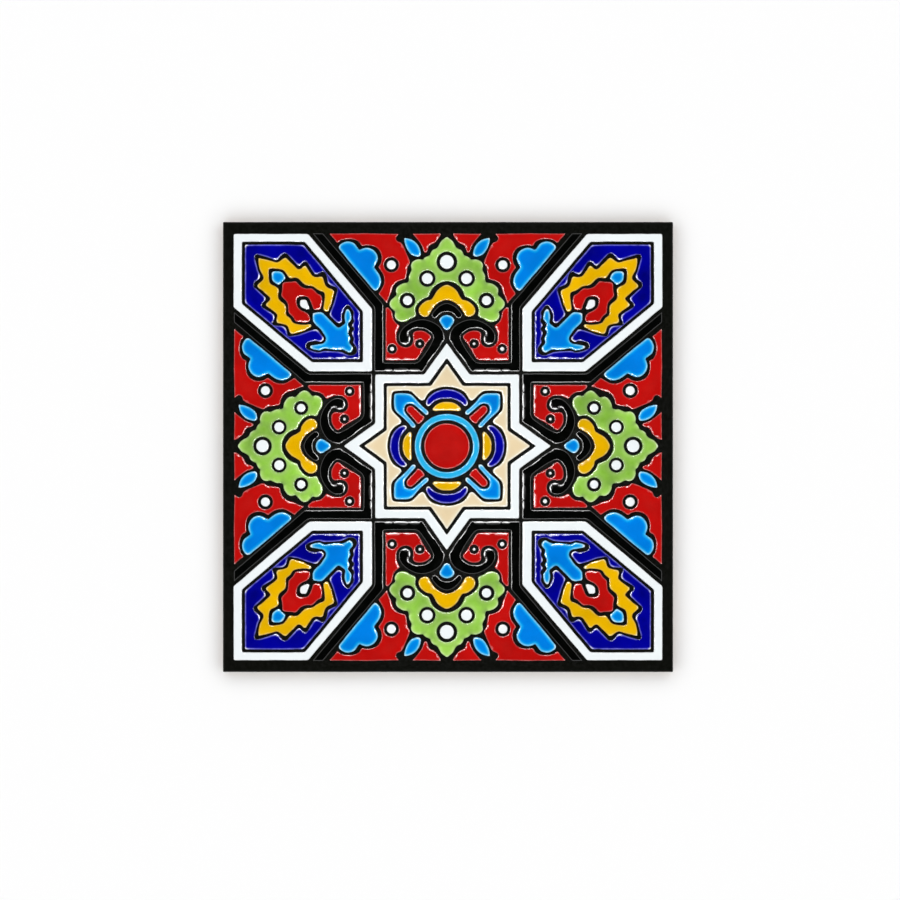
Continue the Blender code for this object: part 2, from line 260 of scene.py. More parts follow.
def raisedField(outer, holes=()):
    # rows of points follow the edge inwards, so that the shoulder shades smoothly
    s = glazeShape
    rim = Rim(outer, list(holes))
    rimCount = len(rim.spots)
    points = list(rim.spots)
    edges = [(k, rim.after[k]) for k in range(rimCount)]
    measures = [(0.0, rim.shoulder[k], rim.bend[k]) for k in range(rimCount)]
    taken = set()

    def add(p, least):
        measure = rim.measure(p)
        spot = (round(p.x / s["closest"]), round(p.y / s["closest"]))
        if measure[0] < least or spot in taken:
            return
        taken.add(spot)
        points.append(p)
        measures.append(measure)

    for step in s["steps"]:
        for a, b in edges:
            p, q = points[a] + rim.inward[a] * step, points[b] + rim.inward[b] * step
            add(p, step * s["rowSlack"][0])
            if (q - p).length > s["openRow"] * s["spacing"] and rim.inward[a].dot(rim.inward[b]) > 0:
                between = (rim.inward[a] + rim.inward[b]).normalized() * step
                add((points[a] + points[b]) / 2 + between, step * s["rowSlack"][1])
    grid = s["insideSpacing"]
    rowShare = 0.87          # of the spacing, so that the triangles are even
    low = [min(p[axis] for p in rim.loops[0]) for axis in (0, 1)]
    high = [max(p[axis] for p in rim.loops[0]) for axis in (0, 1)]
    for row in range(int((high[1] - low[1]) / grid) + 2):
        for column in range(int((high[0] - low[0]) / grid) + 2):
            p = Vector((low[0] + (column + 0.5 * (row % 2)) * grid, low[1] + row * grid * rowShare))
            if rim.measure(p)[0] > s["steps"][-1] + s["insideMargin"] and inLoops(p, rim.loops):
                add(p, 0)

    spots, _, triangles, origins, _, _ = delaunay_2d_cdt(points, edges, [], 0, 1e-5)
    mesh = bmesh.new()
    depthLayer = mesh.verts.layers.float.new("depth")
    bendLayer = mesh.verts.layers.float.new("bend")
    for spot, origin in zip(spots, origins):
        distance, shoulder, bend = measures[origin[0]] if origin else rim.measure(spot)
        height = s["lineLevel"] + glazeHeight(distance, shoulder)
        vert = mesh.verts.new((spot.x * mm, spot.y * mm, height * mm))
        vert[depthLayer] = distance
        vert[bendLayer] = bend
    mesh.verts.ensure_lookup_table()
    for corners in triangles:
        if all(origins[k] and origins[k][0] < rimCount for k in corners):
            middle = (spots[corners[0]] + spots[corners[1]] + spots[corners[2]]) / 3
            if not inLoops(middle, rim.loops):
                continue
        mesh.faces.new([mesh.verts[k] for k in corners])
    bmesh.ops.delete(mesh, geom=[v for v in mesh.verts if not v.link_faces], context="VERTS")
    bmesh.ops.recalc_face_normals(mesh, faces=mesh.faces)
    if sum(f.normal.z for f in mesh.faces) < 0:
        bmesh.ops.reverse_faces(mesh, faces=mesh.faces)
    border = [e for e in mesh.edges if len(e.link_faces) == 1]
    skirt = bmesh.ops.extrude_edge_only(mesh, edges=border)["geom"]
    lowered = [g for g in skirt if isinstance(g, bmesh.types.BMVert)]
    bmesh.ops.translate(mesh, vec=(0, 0, -s["foot"] * mm), verts=lowered)
    openEdges = [g for g in skirt if isinstance(g, bmesh.types.BMEdge) and len(g.link_faces) == 1]
    bmesh.ops.triangle_fill(mesh, use_beauty=False, edges=openEdges)
    bmesh.ops.recalc_face_normals(mesh, faces=mesh.faces)
    return mesh


quarterTurns = [Matrix.Rotation(math.pi / 2 * k, 4, "Z") for k in range(4)]
mirrorX = Matrix.Diagonal((-1, 1, 1, 1))
mirrorY = Matrix.Diagonal((1, -1, 1, 1))
onceInTheMiddle = [Matrix.Identity(4)]
inFourCorners = [Matrix.Identity(4), mirrorX, mirrorY, mirrorX @ mirrorY]
onFourSides = quarterTurns

# the pattern was laid on the tile a little off its centre, and its four quarters differ slightly in size
patternPlace = {"centre": (-0.53, 0.44), "left": 0.997, "right": 1.008, "upper": 0.996, "lower": 1.006}


def onTheTile(co):
    place = patternPlace
    across = place["left"] if co.x < 0 else place["right"]
    up = place["lower"] if co.y < 0 else place["upper"]
    return Vector((co.x * across + place["centre"][0] * mm, co.y * up + place["centre"][1] * mm, co.z))


glazeNames = ("white", "cobalt", "azure", "turquoise", "red", "green", "yellow", "sand", "black")
glazes = {name: bmesh.new() for name in glazeNames}


def lay(colour, places, outer, holes=()):
    field = raisedField(outer, holes)
    data = bpy.data.meshes.new("field")
    field.to_mesh(data)
    field.free()
    for place in places:
        copied = data.copy()
        copied.transform(place)
        if place.determinant() < 0:
            copied.flip_normals()
        for vertex in copied.vertices:
            vertex.co = onTheTile(vertex.co)
        glazes[colour].from_mesh(copied)
        bpy.data.meshes.remove(copied)
    bpy.data.meshes.remove(data)


# The corner: a long hexagon with a crown, a horseshoe and an arrow

corner = {
    "frameOuter": [(95.0, 94.6), (61.8, 94.6), (33.3, 61.2), (33.3, 33.3), (61.3, 33.3), (95.0, 61.9)],
    "frameInner": [(91.3, 91.1), (63.3, 91.1), (37.4, 60.0), (37.4, 37.4), (60.0, 37.4), (91.3, 63.4)],
    "cobaltEdge": [(90.0, 89.9), (63.9, 89.8), (38.7, 59.8), (38.7, 38.7), (59.8, 38.7), (90.0, 63.9)],
    # the drawn line round the crown and the arrow, from the crown's tip
    "rim": [(85.3, 85.1), (84.5, 85.25), (82.0, 84.7), (80.0, 84.1), (78.0, 83.4), (76.6, 82.9),
            (75.9, 82.8, 1), (75.1, 83.3), (74.2, 84.3), (73.4, 85.1), (72.6, 85.6), (71.8, 85.7),
            (71.1, 85.4), (70.3, 84.6), (68.0, 82.2), (66.6, 80.7), (65.9, 80.3, 1), (65.2, 80.6),
            (64.2, 81.5), (63.5, 82.0), (62.8, 82.1), (62.2, 81.7), (61.4, 80.5), (60.2, 78.6),
            (59.5, 77.5), (58.9, 76.8), (58.1, 76.5), (57.2, 76.8), (56.2, 77.3), (55.4, 77.6),
            (54.8, 77.6), (54.3, 77.0), (53.8, 76.3), (53.5, 75.3), (53.3, 74.2), (53.1, 73.1),
            (52.7, 72.3), (52.1, 71.9), (51.1, 71.4), (49.9, 70.9), (49.1, 70.4), (48.8, 69.9, 1),
            (49.1, 68.6), (49.8, 66.0), (50.6, 63.2), (51.4, 61.0), (51.9, 59.8), (52.2, 58.8),
            (51.9, 58.0), (51.2, 57.2), (50.2, 56.2), (49.4, 55.4), (48.8, 54.9), (48.0, 54.7),
            (47.2, 54.9), (46.6, 55.6), (46.6, 56.5), (46.8, 57.6), (46.6, 58.8), (46.0, 60.2),
            (45.4, 61.5), (44.8, 62.4), (44.2, 62.7), (43.5, 62.4), (42.9, 61.6), (42.2, 60.6),
            (41.6, 59.6), (41.7, 58.4), (41.8, 57.6), (41.6, 56.6), (41.4, 55.6), (42.1, 54.4),
            (42.3, 53.6), (41.6, 52.8), (41.5, 51.8), (42.3, 50.8), (42.3, 50.2), (42.0, 49.2),
            (41.5, 48.1), (41.6, 47.0), (41.8, 46.4), (41.5, 45.6), (40.8, 44.6), (40.3, 43.6),
            (40.2, 42.6), (40.5, 41.6), (41.4, 40.8), (42.6, 40.5), (43.8, 40.6), (44.8, 41.0),
            (45.6, 41.3), (46.6, 41.8), (47.8, 42.0), (49.2, 42.2), (51.0, 42.3), (53.4, 42.4),
            (55.0, 42.4), (56.1, 42.0), (57.6, 41.9), (59.0, 42.2), (60.6, 42.7), (61.9, 43.3),
            (62.6, 44.1), (62.6, 45.0), (62.0, 45.8), (61.2, 46.4), (60.1, 46.5), (59.0, 46.8),
            (57.7, 46.7), (56.6, 46.4), (55.6, 46.7), (54.9, 47.3), (54.7, 48.1), (55.2, 48.9),
            (56.1, 50.0), (57.1, 51.2), (57.8, 51.9), (58.4, 52.1), (59.0, 52.0), (60.6, 51.6),
            (63.0, 50.8), (66.2, 49.7), (68.5, 49.3), (69.7, 49.1), (70.6, 49.2, 1), (70.9, 49.9),
            (71.2, 51.1), (71.6, 52.3), (72.2, 53.0), (73.1, 53.5), (74.5, 53.7), (75.9, 53.8),
            (77.0, 54.0), (77.7, 54.5), (77.3, 55.5), (76.9, 56.5), (76.7, 57.6), (76.9, 58.3),
            (77.5, 58.9), (78.5, 59.7), (79.7, 60.4), (80.8, 61.1), (81.9, 61.8), (82.4, 62.5),
            (82.4, 63.1), (82.0, 63.6), (81.3, 64.3), (80.8, 65.0), (80.6, 65.8, 1), (81.0, 66.5),
            (81.7, 67.2), (82.6, 68.1), (83.9, 69.3), (85.0, 70.3), (85.7, 70.9), (85.9, 71.7),
            (85.7, 72.6), (85.0, 73.4), (84.1, 74.0), (83.4, 74.8), (83.1, 75.8, 1), (83.4, 76.9),
            (84.0, 78.2), (84.4, 79.8), (84.9, 81.5), (85.3, 83.1), (85.5, 84.3)],
    "crown": [(83.9, 83.9, 1), (80.0, 83.05), (78.0, 82.5), (76.6, 82.05), (75.6, 81.85), (74.5, 82.4),
              (73.4, 83.2), (72.5, 83.85), (71.8, 84.0), (71.1, 83.5), (69.5, 81.9), (68.0, 80.5),
              (67.0, 79.4), (66.2, 78.85), (65.2, 79.0), (64.5, 79.6), (63.8, 80.2), (63.2, 80.5),
              (62.5, 79.9), (61.9, 78.9), (60.9, 77.5), (60.2, 76.4), (59.5, 75.8), (58.4, 75.45),
              (57.0, 75.5), (56.1, 75.7), (55.4, 75.5), (55.0, 74.8), (54.6, 73.5), (54.2, 72.2),
              (53.7, 71.3), (52.9, 70.7), (51.7, 70.15), (50.6, 69.65), (50.15, 69.1), (50.4, 67.5),
              (50.9, 65.5), (51.5, 63.2), (52.0, 62.0), (52.6, 60.5), (53.1, 59.9), (53.6, 59.7),
              (54.2, 60.0), (54.8, 60.5), (55.05, 61.3), (54.95, 62.3), (54.75, 63.8), (54.55, 65.3),
              (54.45, 67.3), (54.65, 68.2), (55.1, 68.7), (56.0, 68.9), (56.9, 69.25), (57.9, 69.8),
              (58.7, 70.4), (59.5, 71.0), (60.5, 71.3), (62.0, 71.5), (63.0, 71.8), (64.0, 72.5),
              (65.0, 73.5), (66.0, 74.4), (66.8, 74.9), (68.0, 75.0), (69.0, 74.75), (70.0, 74.8),
              (70.6, 75.3), (71.2, 76.3), (71.8, 77.1), (72.4, 77.9), (73.2, 78.4), (74.5, 78.8),
              (76.0, 79.0), (77.5, 79.15), (78.7, 79.1), (79.3, 78.6), (79.4, 77.6), (79.4, 76.4),
              (79.3, 75.1), (79.1, 73.7), (78.8, 72.7), (78.0, 72.0), (76.7, 71.4), (75.6, 70.7),
              (74.9, 70.0), (74.8, 69.2), (75.0, 67.9), (75.1, 66.9), (75.0, 66.2), (74.7, 65.5),
              (74.0, 64.7), (73.1, 64.0), (72.2, 63.2), (71.75, 62.5), (71.6, 61.5), (71.6, 60.2),
              (71.7, 59.1), (71.5, 58.4), (70.7, 57.8), (69.8, 57.1), (69.2, 56.3), (68.8, 55.5),
              (68.1, 54.9), (66.5, 54.4), (65.0, 54.2), (63.2, 54.1), (61.9, 54.3), (60.9, 54.4),
              (60.4, 54.0), (60.2, 53.6), (60.9, 52.8), (62.0, 52.3), (63.0, 51.6), (65.0, 50.8),
              (65.7, 50.7), (66.8, 50.4), (67.9, 50.2), (69.1, 49.9), (69.7, 50.2), (70.1, 50.8),
              (70.3, 51.7), (70.6, 52.7), (71.0, 53.5), (71.9, 54.0), (73.1, 54.3), (74.5, 54.6),
              (75.6, 54.9), (76.0, 55.5), (76.0, 56.2), (75.8, 57.1), (75.6, 58.2), (75.9, 58.9),
              (76.7, 59.7), (77.6, 60.4), (78.6, 61.1), (79.7, 61.9), (80.5, 62.4), (80.8, 62.9),
              (80.5, 63.4), (79.7, 64.2), (79.0, 65.0), (78.6, 65.6), (79.1, 66.3), (80.0, 67.2),
              (80.8, 67.9), (81.7, 68.9), (83.1, 69.9), (84.1, 70.6), (84.5, 71.4), (84.2, 72.0),
              (83.4, 72.8), (82.6, 73.5), (82.0, 74.1), (81.7, 75.1), (81.8, 75.7), (82.2, 76.5),
              (82.8, 77.6), (83.4, 78.9), (83.8, 80.5), (84.0, 81.8)],
    "horseshoe": [(73.2, 72.6), (72.0, 73.1), (70.5, 73.25), (69.0, 73.3), (67.8, 73.6), (66.9, 73.2),
                  (66.2, 72.5), (65.4, 71.7), (64.6, 71.0), (63.5, 70.6), (62.0, 70.3), (61.0, 70.4),
                  (60.0, 70.3), (59.4, 69.8), (58.6, 69.1), (57.8, 68.2), (57.0, 67.7), (56.2, 67.35),
                  (55.7, 66.7), (55.5, 65.5), (55.5, 64.1), (55.6, 63.0), (55.9, 62.0), (56.1, 61.3),
                  (56.6, 60.8), (57.6, 60.7), (58.6, 60.7), (59.4, 61.0), (59.8, 61.7), (60.0, 62.5),
                  (60.5, 63.7), (61.1, 65.0), (61.7, 66.0), (62.6, 66.5), (64.0, 66.6), (65.2, 66.6),
                  (66.1, 66.3), (66.8, 65.5), (66.8, 64.5), (66.6, 63.0), (66.3, 62.1), (65.5, 61.2),
                  (64.5, 60.4), (63.3, 59.9), (62.3, 59.4), (61.5, 58.7), (61.1, 58.1), (60.9, 57.2),
                  (60.9, 56.2), (61.4, 55.4), (62.2, 55.1), (63.5, 54.9), (64.5, 55.0), (65.6, 55.3),
                  (66.8, 55.3), (67.6, 55.7), (67.9, 56.3), (68.5, 57.3), (69.3, 58.2), (70.2, 59.0),
                  (70.6, 59.7), (70.7, 60.7), (70.8, 62.0), (70.9, 63.2), (71.4, 64.3), (72.2, 65.2),
                  (73.1, 66.1), (73.7, 66.9), (73.7, 67.7), (73.5, 69.1), (73.4, 70.5), (73.4, 72.0)],
    "seed": [(65.1, 65.2), (64.0, 65.3), (63.0, 65.3), (62.5, 65.0), (62.2, 64.2), (61.8, 63.2),
             (61.4, 62.2), (61.1, 61.4), (61.3, 60.9), (62.0, 60.9), (63.0, 61.1), (64.0, 61.5),
             (64.8, 62.0), (65.3, 62.6), (65.4, 63.5), (65.4, 64.5)],
    "drop": [(78.1, 77.4), (77.2, 77.9), (75.9, 78.0), (74.6, 77.9), (73.5, 77.5), (72.7, 76.7),
             (72.2, 75.7), (71.9, 74.9), (72.2, 74.2), (73.0, 73.6), (73.8, 72.9), (74.4, 72.1),
             (75.2, 71.9), (76.1, 72.4), (77.0, 73.0), (77.7, 73.8), (78.0, 74.9), (78.1, 76.2)],
    "arrow": [(59.7, 59.2), (58.2, 59.6), (56.9, 59.8), (56.0, 59.7), (55.3, 59.4), (54.2, 58.4),
              (52.6, 56.8), (51.0, 55.2), (49.7, 53.9), (48.9, 53.1), (48.1, 52.8), (47.3, 53.1),
              (46.4, 53.8), (45.6, 54.4), (45.1, 54.9), (45.3, 55.6), (45.5, 56.6), (45.6, 57.7),
              (45.5, 59.0), (45.1, 60.1), (44.8, 60.9), (44.3, 61.3), (43.8, 61.0), (43.1, 60.1),
              (42.7, 58.8), (42.5, 57.7), (42.5, 56.8), (42.8, 56.0), (43.5, 55.2), (43.9, 54.5),
              (44.0, 54.0), (43.6, 53.2), (43.2, 52.4), (43.5, 51.6), (43.9, 51.0), (43.9, 50.2),
              (43.6, 49.4), (43.1, 48.6), (42.9, 47.8), (43.1, 47.0), (43.4, 46.4), (43.1, 45.6),
              (42.4, 44.8), (41.8, 44.0), (41.8, 43.2), (42.1, 42.4), (42.9, 41.7), (43.7, 41.6),
              (44.5, 42.1), (45.6, 42.7), (46.9, 43.1), (48.0, 42.9), (49.3, 42.9), (50.4, 42.9),
              (51.4, 43.1), (52.6, 43.2), (54.0, 43.5), (55.3, 43.2), (56.1, 42.7), (56.8, 42.5),
              (57.6, 42.7), (59.0, 42.9), (59.8, 43.2), (60.8, 43.7), (61.1, 44.2), (60.5, 44.8),
              (59.5, 45.0), (58.5, 45.2), (56.9, 45.5), (55.5, 45.7), (54.4, 46.4), (53.9, 47.3),
              (53.9, 48.4), (54.4, 49.4), (55.2, 50.5), (56.1, 51.8), (57.1, 52.8), (58.2, 53.8),
              (59.1, 54.8), (59.6, 55.6), (59.8, 56.6), (59.8, 58.1)],
}


def layCorners():
    frameInner = drawn(straight(corner["frameInner"]))
    lay("white", inFourCorners, drawn(straight(corner["frameOuter"])), [frameInner])
    lay("cobalt", inFourCorners, drawn(straight(corner["cobaltEdge"])), [drawn(corner["rim"], 1)])
    lay("yellow", inFourCorners, drawn(corner["crown"], 1))
    lay("red", inFourCorners, drawn(corner["horseshoe"], 1))
    lay("white", inFourCorners, drawn(corner["seed"], 1))
    lay("azure", inFourCorners, drawn(corner["drop"], 1))
    lay("azure", inFourCorners, drawn(corner["arrow"], 1))
    print("corners laid")


# The side: a black band with scrolls round leaves, clouds and dots

side = {
    "band": [(60.1, 95.0, 1), (33.0, 62.5, 1), (32.35, 61.2, 1), (32.45, 33.1, 1), (10.8, 33.1, 1),
             (0.7, 47.4, 1), (0.8, 49.0), (2.2, 52.4), (5.0, 54.8), (9.5, 56.5), (13.8, 56.2), (17.8, 54.3),
             (20.7, 51.4), (21.6, 48.7), (20.9, 46.2), (18.6, 45.0), (16.9, 45.6), (16.1, 46.9),
             (16.1, 48.7), (16.9, 50.0), (16.6, 51.2), (15.0, 52.0), (13.5, 52.4), (10.7, 52.3),
             (8.3, 51.2), (6.4, 49.4), (6.2, 48.0), (6.9, 46.5), (7.9, 44.4), (11.0, 39.9), (12.6, 38.0),
             (14.2, 37.25), (28.2, 37.25, 1), (28.2, 63.4, 1), (55.2, 95.0, 1)],
    "lowerRed": [(27.3, 61.6, 1), (27.4, 38.2, 1), (20.0, 38.1), (13.9, 38.4), (12.4, 39.9), (10.1, 43.7),
                 (8.4, 46.5), (7.1, 48.2), (7.3, 49.3), (10.1, 51.2), (13.7, 51.4), (15.2, 50.2),
                 (15.1, 48.0), (15.1, 46.5), (15.9, 45.0), (17.8, 44.1), (20.3, 44.6), (22.1, 46.5),
                 (22.5, 48.4), (22.3, 50.4), (20.9, 53.6, 1), (22.8, 55.3), (23.8, 56.9), (24.1, 58.6),
                 (24.4, 59.9), (25.4, 61.2), (26.6, 62.1)],
    "upperRed": [(52.4, 94.8, 1), (36.0, 94.9), (21.3, 94.7, 1), (22.6, 92.6), (21.9, 91.4), (20.3, 90.6),
                 (19.3, 89.1), (18.2, 86.6), (17.0, 84.0), (16.4, 82.4), (16.6, 81.0), (17.3, 80.2),
                 (17.7, 78.2), (18.0, 75.9), (18.5, 74.4), (20.3, 73.9), (22.3, 73.0), (23.8, 71.4),
                 (24.3, 69.6), (24.9, 67.8), (25.8, 66.0), (26.6, 63.6, 1), (30.5, 67.9, 1), (29.1, 70.1),
                 (28.1, 72.1), (28.0, 74.7), (28.7, 76.9), (30.6, 79.7, 1), (29.4, 81.8), (29.1, 84.3),
                 (30.2, 87.2), (32.2, 88.8), (35.4, 89.5), (38.0, 89.3), (38.9, 90.8), (41.2, 92.0),
                 (43.8, 92.2), (47.0, 91.8), (48.9, 90.6), (49.6, 91.5)],
    "cloud": [(48.2, 89.1), (47.2, 90.2), (45.5, 91.1), (43.6, 91.3), (41.3, 90.5), (40.0, 88.9),
              (38.9, 87.5, 1), (37.6, 88.1), (35.2, 88.5), (32.5, 87.3), (31.0, 85.3), (30.7, 83.3),
              (31.5, 81.3), (32.4, 79.7, 1), (31.3, 78.3), (29.9, 76.2), (29.2, 73.9), (29.6, 71.6),
              (30.7, 69.9), (31.9, 69.2), (33.2, 70.1, 1), (48.0, 87.9)],
    "smallLeaf": [(19.0, 92.8, 1), (17.0, 92.5), (15.2, 91.8), (13.4, 90.4), (12.2, 88.5), (11.6, 86.4),
                  (11.7, 85.0), (12.8, 84.4), (14.4, 84.7), (16.0, 85.5), (17.3, 87.0), (18.3, 88.9),
                  (18.9, 91.0)],
    "smallRed": [(15.4, 94.7, 1), (2.6, 94.8, 1), (3.1, 93.3), (5.3, 90.6), (7.7, 89.2), (8.5, 87.2),
                 (9.4, 86.0), (10.2, 86.6), (11.2, 89.2), (13.2, 92.1)],
    "leaf": [(0, 93.2), (1.1, 92.6), (2.6, 91.4), (3.5, 89.8), (4.2, 88.6), (5.1, 87.9, 1), (6.1, 87.6),
             (7.2, 86.2), (7.5, 85.1, 1), (8.9, 84.6), (10.1, 83.9), (10.6, 83.1, 1), (12.7, 83.3),
             (14.4, 82.8), (15.6, 81.8), (16.0, 80.4), (15.7, 78.6, 1), (16.3, 77.3), (17.0, 75.7),
             (16.9, 74.3), (17.3, 72.9, 1), (19.0, 72.7), (20.8, 72.0), (22.4, 70.6), (22.8, 69.1),
             (22.4, 67.4, 1), (23.8, 66.2), (25.1, 64.8), (25.6, 63.4), (25.1, 61.9), (24.0, 60.8),
             (22.9, 59.9, 1), (23.3, 58.6), (23.0, 57.1), (21.8, 55.9), (20.0, 55.3), (18.0, 55.6),
             (16.0, 56.8), (14.3, 57.5), (13.7, 58.3), (14.0, 59.8), (13.8, 61.7), (12.6, 63.7),
             (10.3, 65.6), (8.0, 66.6, 1), (7.2, 68.7), (6.0, 70.6), (4.3, 72.1), (2.0, 73.1), (0, 73.4)],
    "cap": [(0, 71.9), (2.4, 71.0), (4.5, 69.2), (5.8, 66.9), (6.8, 65.3, 1), (8.8, 64.9), (10.3, 64.0),
            (11.7, 62.7), (12.6, 60.9), (12.3, 59.0), (11.1, 57.9), (9.4, 57.6), (8.1, 58.2), (7.2, 59.8),
            (5.3, 62.4), (3.0, 64.2), (0, 65.1)],
    "dome": [(0, 63.9), (3.0, 62.9), (5.1, 61.1), (6.7, 59.1), (6.9, 57.9), (6.2, 57.1), (5.3, 56.8),
             (4.3, 57.3), (3.2, 58.6), (1.8, 59.5), (0, 59.7)],
    "bud": [(0, 58.5), (1.9, 58.0), (3.2, 56.8), (3.3, 55.5), (2.2, 53.7), (1.0, 52.0), (0, 51.6)],
    # across, up, white radius, black ring radius
    "redDots": {"upperRed": [(24.7, 80.8, 2.05, 3.2)],
                "lowerRed": [(24.4, 43.3, 0.95, 2.05), (12.0, 45.6, 0.65, 1.95)]},
    "middleDot": (0, 82.1, 3.1, 4.5),
    "leafDots": [(8.7, 74.7, 2.45, 3.6), (17.5, 64.9, 2.1, 3.4)],
    # the motifs on the left and right are drawn a little narrower, with smaller dots
    "lyingWidth": 0.97,
    "lyingDots": 0.9,
}


def narrowed(points, width):
    return [(p[0] * width, *p[1:]) for p in points]


def layDot(places, dot, size=1):
    x, y, white, ring = dot
    lay("white", places, circle(x, y, white * size))
    return circle(x, y, ring * size)


def laySides():
    upright = (quarterTurns[0::2], 1, 1)
    lying = (quarterTurns[1::2], side["lyingWidth"], side["lyingDots"])
    for turns, width, dotSize in (upright, lying):
        halves = [turn @ flip for turn in turns for flip in (Matrix.Identity(4), mirrorX)]
        lay("black", halves, drawn(side["band"], 1))
        for name, dots in side["redDots"].items():
            lay("red", halves, drawn(side[name], 1), [layDot(halves, dot) for dot in dots])
        lay("red", halves, drawn(side["smallRed"], 1))
        lay("azure", halves, drawn(side["cloud"], 1))
        lay("azure", halves, drawn(narrowed(side["smallLeaf"], width), 1))
        holes = [layDot(turns, side["middleDot"], dotSize)]
        for x, y, white, ring in side["leafDots"]:
            dot = (x * width, y, white, ring)
            holes += [layDot(halves, dot, dotSize), circle(-dot[0], y, ring * dotSize)]
        for colour, name, gaps in (("green", "leaf", holes), ("yellow", "cap", []), ("black", "dome", []),
                                   ("azure", "bud", [])):
            lay(colour, turns, drawn(narrowed(withMirror(side[name]), width), 1), gaps)
    print("sides laid")


# The middle: a spiked star round a medallion

star = {
    "whiteOuter": [(31.9, -10.1), (46.0, 0), (31.9, 10.1), (31.9, 31.9)],
    "whiteInner": [(28.1, -8.0), (39.3, 0), (28.1, 8.0), (28.1, 28.1)],
    "sandOuter": [(26.8, -7.1), (36.9, 0), (26.8, 7.1), (26.8, 26.8)],
    # the drawn line that holds the medallion, from above the crescent to the diagonal
    "sandInner": [(0, 26.4), (2.5, 26.2), (4.8, 25.6), (7.0, 24.6), (8.4, 23.3), (9.3, 21.9), (10.0, 20.7),
                  (10.9, 20.2, 1), (11.8, 20.6), (13.5, 22.2), (15.2, 23.8), (16.4, 24.5), (18.0, 24.7),
                  (20.5, 24.7), (22.9, 24.5), (24.1, 24.1)],
    "crescent": [(0, 25.3), (2.0, 25.2), (4.0, 24.7), (5.9, 23.8), (7.5, 22.5), (8.7, 21.0), (9.3, 19.5),
                 (9.1, 18.2), (8.2, 17.7), (6.9, 18.6), (5.5, 19.7), (3.8, 20.6), (2.0, 21.1), (0, 21.2)],
    "yellow": [(0, 19.8), (1.8, 19.7), (3.4, 19.2), (4.7, 18.4), (5.8, 17.3), (6.5, 16.3), (5.6, 15.6),
               (3.0, 15.7), (0, 15.8)],
    # up one side of the bracket, from the end of its arm to the diagonal and back inside
    "bracket": [(8.1, 14.6), (8.3, 15.5), (10.0, 17.0), (12.0, 18.9), (13.5, 20.5), (14.9, 22.1),
                (16.2, 23.1), (17.8, 23.5), (20.0, 23.6), (22.0, 23.6), (23.3, 23.3, 1)],
    "bracketInside": [(18.3, 18.3), (17.1, 18.8), (15.9, 18.85), (14.6, 18.3), (13.1, 17.15), (11.6, 15.85),
                      (10.2, 14.6), (9.1, 13.8), (8.5, 13.9)],
    "capsule": [(9.9, 12.7), (11.5, 14.3), (13.2, 15.95), (14.6, 17.2), (15.6, 17.95), (16.7, 18.0),
                (17.5, 17.5)],
    "discRadius": 10.1,
    "ringRadii": (14.35, 11.5),
}


def roundTheTile(quarter):
    points = [(p[0], p[1], 1) for p in quarter]
    turns = [Matrix.Rotation(math.pi / 2 * k, 2) for k in range(4)]
    return [(*(turn @ Vector(p[:2])), 1) for turn in turns for p in points]


def layStar():
    half = star["sandInner"]
    quarter = half + acrossDiagonal(half)[1:-1]
    around = []
    for k in range(4):
        turn = Matrix.Rotation(-math.pi / 2 * k, 2)
        around += [(*(turn @ Vector(p[:2])), *p[2:]) for p in quarter]
    whiteInner = drawn(roundTheTile(star["whiteInner"]))
    lay("white", onceInTheMiddle, drawn(roundTheTile(star["whiteOuter"])), [whiteInner])
    lay("sand", onceInTheMiddle, drawn(roundTheTile(star["sandOuter"])), [drawn(around, 1)])
    lay("cobalt", onFourSides, drawn(withMirror(star["crescent"]), 1))
    lay("yellow", onFourSides, drawn(withMirror(star["yellow"]), 1))
    bracket = (star["bracket"] + acrossDiagonal(star["bracket"][:-1])
               + acrossDiagonal(star["bracketInside"][1:]) + star["bracketInside"])
    lay("azure", onFourSides, drawn(bracket, 1))
    lay("red", onFourSides, drawn(star["capsule"] + acrossDiagonal(star["capsule"]), 1))
    ring = [circle(0, 0, radius) for radius in star["ringRadii"]]
    lay("turquoise", onceInTheMiddle, ring[0], [ring[1]])
    lay("red", onceInTheMiddle, circle(0, 0, star["discRadius"]))
    print("star laid")


# The fired body under the glazes

body = {
    "side": 199.9,
    "bottomBevel": 0.6,
    "uprightBevel": 0.5,
    "top": 7.5,
    "coatSide": 200.0,
    "coatBottom": 7.42,
    "faceArris": 0.6,
}


def block(width, low, high, uprightBevel):
    mesh = bmesh.new()
    bmesh.ops.create_cube(mesh, size=1)
    bmesh.ops.scale(mesh, vec=(width * mm, width * mm, (high - low) * mm), verts=mesh.verts)
    bmesh.ops.translate(mesh, vec=(0, 0, (high + low) / 2 * mm), verts=mesh.verts)
    upright = [e for e in mesh.edges if abs(e.verts[0].co.z - e.verts[1].co.z) > 0.1 * mm]
    ease(mesh, upright, uprightBevel, 3)
    return mesh


def ease(mesh, edges, width, segments):
    bmesh.ops.bevel(mesh, geom=edges, offset=width * mm, offset_type="OFFSET", segments=segments,
                    profile=0.5, affect="EDGES", material=-1)


def levelEdges(mesh, level):
    return [e for e in mesh.edges if all(abs(v.co.z - level * mm) < 0.005 * mm for v in e.verts)]


def makeBody():
    biscuit = block(body["side"], 0, body["top"], body["uprightBevel"])
    ease(biscuit, levelEdges(biscuit, 0), body["bottomBevel"], 2)
    coat = block(body["coatSide"], body["coatBottom"], glazeShape["lineLevel"], body["uprightBevel"])
    ease(coat, levelEdges(coat, glazeShape["lineLevel"]), body["faceArris"], 5)
    piece(biscuit, "firedBody", biscuitMaterial())
    piece(coat, "blackCoat", lineMaterial())
    print("body made")


# Materials

